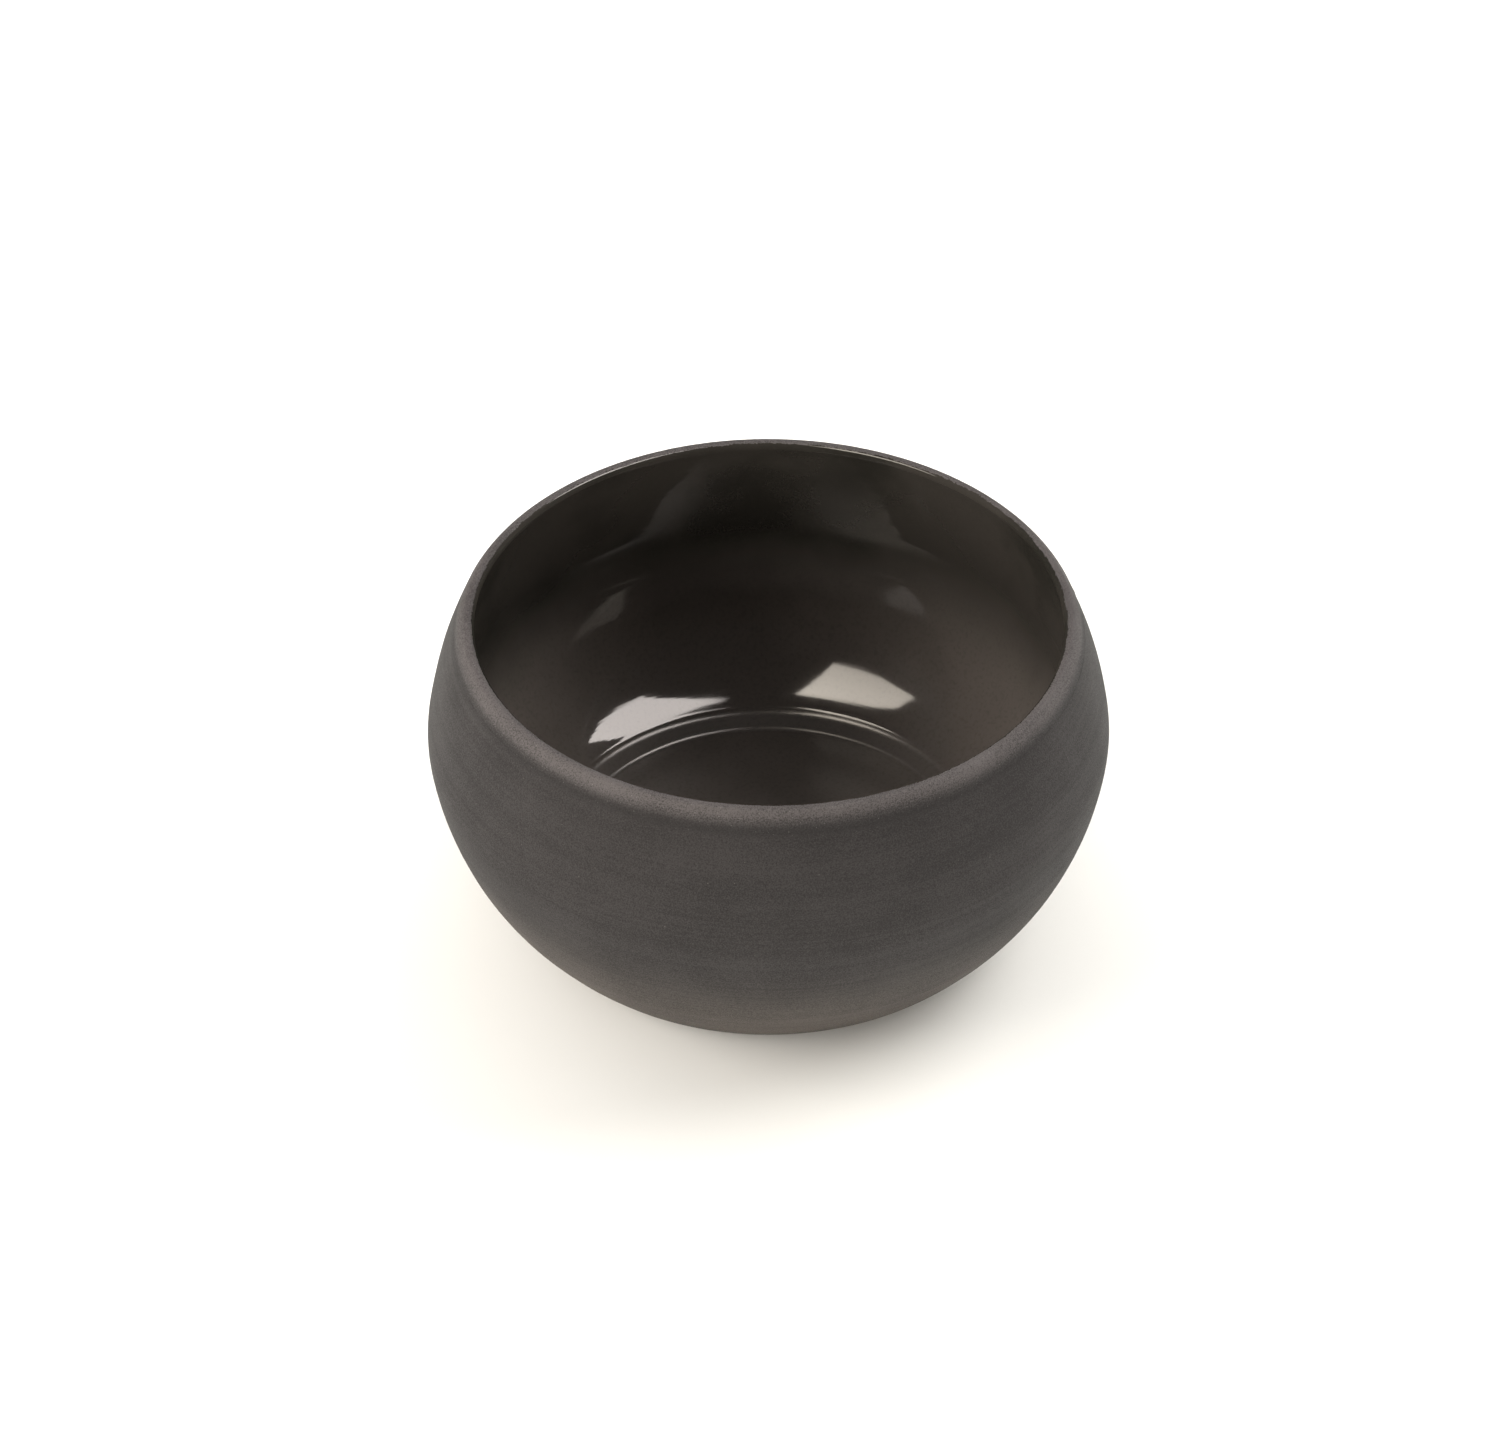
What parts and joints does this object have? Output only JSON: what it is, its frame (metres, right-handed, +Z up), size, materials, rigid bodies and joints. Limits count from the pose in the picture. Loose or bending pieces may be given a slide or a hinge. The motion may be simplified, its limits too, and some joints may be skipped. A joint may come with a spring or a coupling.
{
  "type": "clay pot",
  "caption": "Low round-bellied clay pot with an open mouth and a rolled lip, matt black-brown outside and glossy glazed inside.",
  "frame": {"origin": "centre of the foot, on the surface that the pot stands on", "axes": "+Z up along the pot's axis; the pot is round, so +X and +Y are alike"},
  "size_m": [0.12, 0.12, 0.0593],
  "materials": {
    "clay": "matt fired clay, fine turning lines and grain",
    "glaze": "glossy brown-black glaze"
  },
  "bodies": {
    "root": {"base_slab": "clay", "clay_wall": "clay", "lip_roll": "clay", "inner_glaze": "glaze"}
  },
  "joints": []
}
